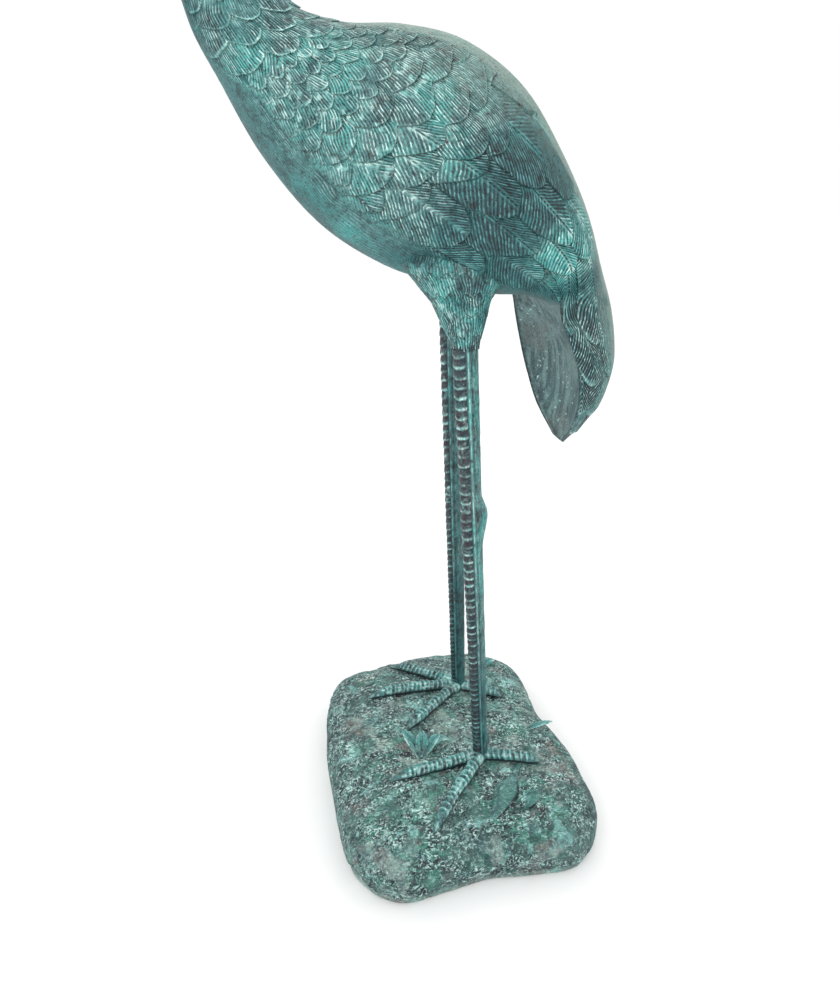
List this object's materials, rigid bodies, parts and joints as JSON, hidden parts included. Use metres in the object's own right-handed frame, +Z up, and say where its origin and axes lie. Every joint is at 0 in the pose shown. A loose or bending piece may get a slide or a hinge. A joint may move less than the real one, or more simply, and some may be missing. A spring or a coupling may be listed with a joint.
{
  "type": "cast crane sculpture on a rock stand",
  "caption": "Standing crane with folded wings, drooping tail and long straight legs, cast in verdigris bronze and fixed on a rounded rock stand.",
  "frame": {"origin": "on the flat underside of the rock stand, under the middle of the bird's stance", "axes": "+Z up, the bird faces -X, its left side faces -Y"},
  "size_m": [0.7019, 0.5183, 1.6246],
  "materials": {
    "crane_patina": "cast bronze with turquoise and grey-green verdigris, dark slate in the carved lines, dull",
    "rock_patina": "rough cast bronze with mint and slate mottled verdigris and small pinkish-brown bare spots, dull"
  },
  "bodies": {
    "root": {"crane": "crane_patina", "rock_base": "rock_patina"}
  },
  "joints": []
}
